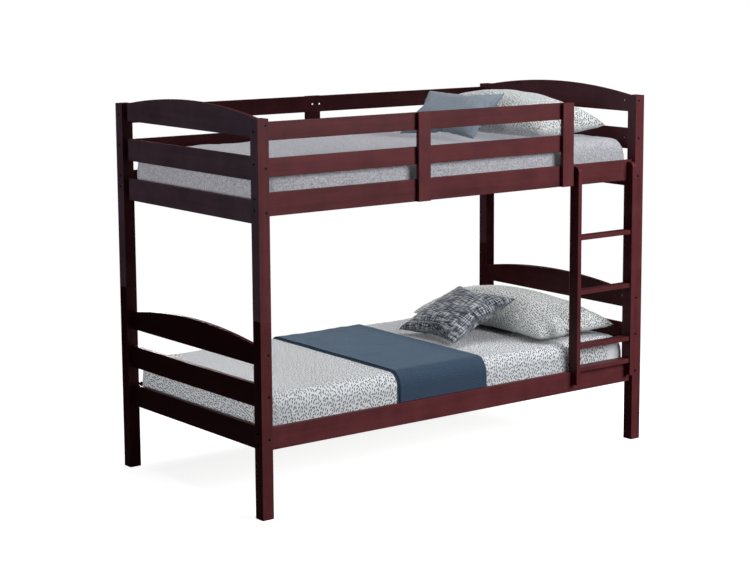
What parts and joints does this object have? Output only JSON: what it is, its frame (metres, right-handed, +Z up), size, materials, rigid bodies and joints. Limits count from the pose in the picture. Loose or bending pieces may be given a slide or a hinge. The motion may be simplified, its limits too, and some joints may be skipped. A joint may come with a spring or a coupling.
{
  "type": "bunk bed with ladder",
  "caption": "Twin-over-twin wooden bunk bed with arched end panels, guard rails on the upper bunk, an upright front ladder at the head end and dressed mattresses.",
  "frame": {"origin": "on the floor, in the middle of the footprint of the whole object, ladder included", "axes": "+X along the bed from the foot end to the head end, where the ladder is; -Y to the front; +Z up"},
  "size_m": [2.019, 1.072, 1.5759],
  "materials": {
    "cherry_wood": "dark cherry stain under satin lacquer",
    "slat_wood": "plain sawn pine",
    "black_steel": "black oxide",
    "zinc_steel": "bright zinc",
    "mattress_ticking": "off-white knitted ticking",
    "grey_sheet": "heathered grey jersey",
    "sprig_sheet": "pale cotton printed with small sprigs",
    "sprig_pillowcase": "pale cotton printed with small dashes",
    "blue_grey_linen": "slubby linen",
    "streaked_weave": "coarse streaked weave",
    "navy_throw": "soft ribbed knit"
  },
  "bodies": {
    "lower_bunk": {"lower_barrel_nuts": "zinc_steel", "lower_bolts": "black_steel", "lower_foot_arch_panel": "cherry_wood", "lower_foot_bottom_rail": "cherry_wood", "lower_foot_middle_rail": "cherry_wood", "lower_head_arch_panel": "cherry_wood", "lower_head_bottom_rail": "cherry_wood", "lower_head_middle_rail": "cherry_wood", "lower_post_front_foot": "cherry_wood", "lower_post_front_head": "cherry_wood", "lower_post_rear_foot": "cherry_wood", "lower_post_rear_head": "cherry_wood", "lower_side_rail_front": "cherry_wood", "lower_side_rail_rear": "cherry_wood", "lower_slat_cleats": "slat_wood", "lower_slat_screws": "zinc_steel", "lower_slats": "slat_wood", "stacking_pins": "zinc_steel"},
    "upper_bunk": {"front_guard_board_foot": "cherry_wood", "front_guard_board_head": "cherry_wood", "front_guard_middle_rail": "cherry_wood", "front_guard_top_rail": "cherry_wood", "guard_and_ladder_screws": "zinc_steel", "rear_guard_board": "cherry_wood", "rear_guard_middle_rail": "cherry_wood", "rear_guard_top_rail": "cherry_wood", "upper_barrel_nuts": "zinc_steel", "upper_bolts": "black_steel", "upper_foot_arch_panel": "cherry_wood", "upper_foot_bottom_rail": "cherry_wood", "upper_foot_middle_rail": "cherry_wood", "upper_head_arch_panel": "cherry_wood", "upper_head_bottom_rail": "cherry_wood", "upper_head_middle_rail": "cherry_wood", "upper_post_front_foot": "cherry_wood", "upper_post_front_head": "cherry_wood", "upper_post_rear_foot": "cherry_wood", "upper_post_rear_head": "cherry_wood", "upper_side_rail_front": "cherry_wood", "upper_side_rail_rear": "cherry_wood", "upper_slat_cleats": "slat_wood", "upper_slat_screws": "zinc_steel", "upper_slats": "slat_wood"},
    "ladder": {"ladder_rung_1": "cherry_wood", "ladder_rung_2": "cherry_wood", "ladder_rung_3": "cherry_wood", "ladder_rung_4": "cherry_wood", "ladder_rung_screws": "black_steel", "ladder_stile_inner": "cherry_wood", "ladder_stile_outer": "cherry_wood"},
    "upper_mattress": {"upper_fitted_sheet": "grey_sheet", "upper_mattress": "mattress_ticking"},
    "upper_pillow": {"upper_pillow": "sprig_pillowcase"},
    "upper_cushion": {"upper_cushion": "blue_grey_linen"},
    "lower_mattress": {"lower_fitted_sheet": "sprig_sheet", "lower_mattress": "mattress_ticking"},
    "lower_pillow": {"lower_pillow": "sprig_pillowcase"},
    "lower_cushion": {"lower_cushion": "streaked_weave"},
    "throw_blanket": {"throw_blanket": "navy_throw"}
  },
  "joints": [
    {"name": "upper_bunk_lift", "type": "slide", "parent": "lower_bunk", "child": "upper_bunk", "axis": [0, 0, 1], "range_m": [0, 0.3]},
    {"name": "ladder_removal", "type": "slide", "parent": "upper_bunk", "child": "ladder", "axis": [0, -1, 0], "range_m": [0, 0.4]},
    {"name": "upper_mattress_lift", "type": "slide", "parent": "upper_bunk", "child": "upper_mattress", "axis": [0, 0, 1], "range_m": [0, 0.3]},
    {"name": "upper_pillow_lift", "type": "slide", "parent": "upper_mattress", "child": "upper_pillow", "axis": [0, 0, 1], "range_m": [0, 0.2]},
    {"name": "upper_cushion_lift", "type": "slide", "parent": "upper_pillow", "child": "upper_cushion", "axis": [0, 0, 1], "range_m": [0, 0.2]},
    {"name": "lower_mattress_lift", "type": "slide", "parent": "lower_bunk", "child": "lower_mattress", "axis": [0, 0, 1], "range_m": [0, 0.15]},
    {"name": "lower_pillow_lift", "type": "slide", "parent": "lower_mattress", "child": "lower_pillow", "axis": [0, 0, 1], "range_m": [0, 0.15]},
    {"name": "lower_cushion_lift", "type": "slide", "parent": "lower_pillow", "child": "lower_cushion", "axis": [0, 0, 1], "range_m": [0, 0.12]},
    {"name": "throw_lift", "type": "slide", "parent": "lower_mattress", "child": "throw_blanket", "axis": [0, 0, 1], "range_m": [0, 0.15]}
  ]
}
